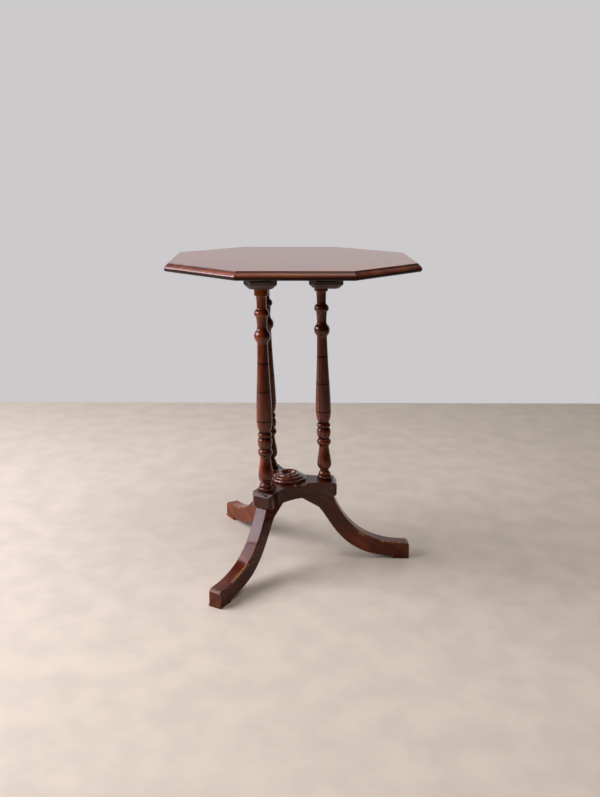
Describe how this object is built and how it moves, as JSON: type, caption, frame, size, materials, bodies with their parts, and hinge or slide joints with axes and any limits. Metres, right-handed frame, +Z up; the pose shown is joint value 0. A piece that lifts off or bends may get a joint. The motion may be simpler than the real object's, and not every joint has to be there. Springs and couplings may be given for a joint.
{
  "type": "tilt top table",
  "caption": "Octagonal tilt top occasional table in mahogany: moulded top hinged on blocks, turned columns, concave sided platform with a turned boss, outswept legs.",
  "frame": {"origin": "on the floor, under the centre of the platform", "axes": "+Z up, +X towards the right-hand leg, +Y to the back; the hinge line under the top runs along Y on the left"},
  "size_m": [0.54, 0.53, 0.7],
  "materials": {
    "mahogany": "french polished",
    "mahogany_top": "french polished",
    "mahogany_dark": "dull, unpolished underside wood",
    "brass": "aged satin",
    "screw_steel": "dull"
  },
  "bodies": {
    "base": {"platform": "mahogany", "platform_boss": "mahogany", "column_right": "mahogany", "block_right": "mahogany_dark", "leg_right": "mahogany", "foot_pad_right": "mahogany", "column_back": "mahogany", "block_back": "mahogany_dark", "leg_back": "mahogany", "foot_pad_back": "mahogany", "column_front": "mahogany", "block_front": "mahogany_dark", "leg_front": "mahogany", "foot_pad_front": "mahogany", "hinge_back_fixed_leaf": "brass", "hinge_back_pin": "brass", "hinge_back_fixed_screw_a": "screw_steel", "hinge_back_fixed_screw_b": "screw_steel", "hinge_front_fixed_leaf": "brass", "hinge_front_pin": "brass", "hinge_front_fixed_screw_a": "screw_steel", "hinge_front_fixed_screw_b": "screw_steel"},
    "top": {"table_top": "mahogany_top", "cleat_right": "mahogany_dark", "cleat_screw_right_a": "screw_steel", "cleat_screw_right_b": "screw_steel", "cleat_back": "mahogany_dark", "cleat_screw_back_a": "screw_steel", "cleat_screw_back_b": "screw_steel", "cleat_front": "mahogany_dark", "cleat_screw_front_a": "screw_steel", "cleat_screw_front_b": "screw_steel", "hinge_back_moving_leaf": "brass", "hinge_back_moving_screw_a": "screw_steel", "hinge_back_moving_screw_b": "screw_steel", "hinge_front_moving_leaf": "brass", "hinge_front_moving_screw_a": "screw_steel", "hinge_front_moving_screw_b": "screw_steel"}
  },
  "joints": [
    {"name": "top_tilt", "type": "hinge", "parent": "base", "child": "top", "pos_m": [-0.0877, 0, 0.66625], "axis": [0, -1, 0], "range_deg": [0, 90]}
  ]
}
